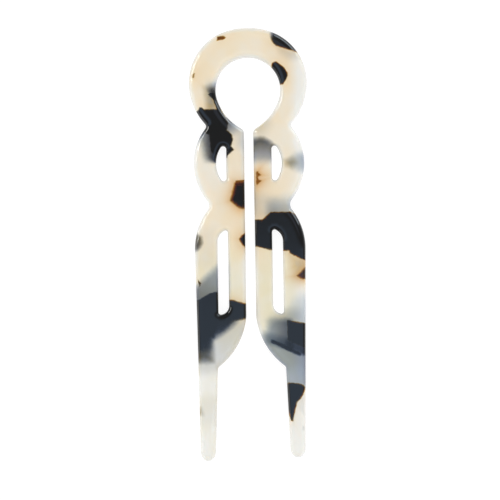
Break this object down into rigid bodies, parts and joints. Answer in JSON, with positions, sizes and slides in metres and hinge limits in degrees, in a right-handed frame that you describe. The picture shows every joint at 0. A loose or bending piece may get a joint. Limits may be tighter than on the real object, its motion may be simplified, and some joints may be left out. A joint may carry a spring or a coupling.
{
  "type": "u-shaped hair pin",
  "caption": "Flat U-shaped hair pin with a ring head, slotted side lobes along a narrow slit, and long legs with round tips.",
  "frame": {"origin": "centre of the pin's footprint, on the surface that its flat back lies on", "axes": "+Y along the pin from the leg tips to the ring, +Z out of the front face, +X to the right"},
  "size_m": [0.0298, 0.1098, 0.004],
  "materials": {
    "acetate": "polished cellulose acetate, cream with near-black and amber flakes"
  },
  "bodies": {
    "root": {"hair_pin": "acetate"}
  },
  "joints": []
}
